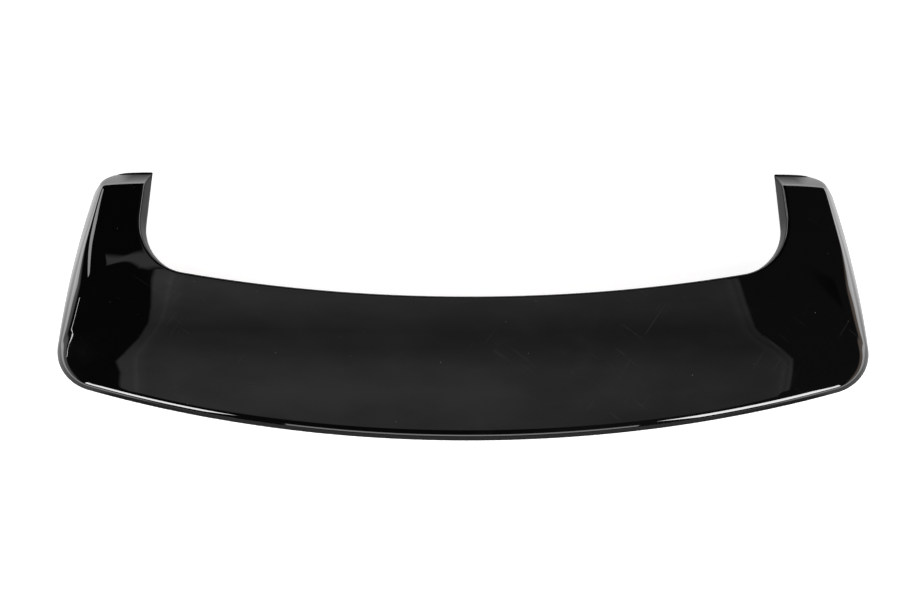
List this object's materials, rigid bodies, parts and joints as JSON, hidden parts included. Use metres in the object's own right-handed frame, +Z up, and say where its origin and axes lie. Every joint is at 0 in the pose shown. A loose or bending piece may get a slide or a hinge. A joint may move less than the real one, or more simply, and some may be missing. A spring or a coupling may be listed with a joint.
{
  "type": "roof spoiler",
  "caption": "Gloss black moulded roof spoiler for a hatchback: a swept blade with a curved trailing edge and two arms that reach forward, ribbed underneath.",
  "frame": {"origin": "under the middle of the part, on the plane that its flanks rest on", "axes": "+X to the right across the car, +Y to the front of the car along the arms, +Z up"},
  "size_m": [1.088, 0.428, 0.052],
  "materials": {
    "gloss_black": "high gloss"
  },
  "bodies": {
    "root": {"spoiler_moulding": "gloss_black"}
  },
  "joints": []
}
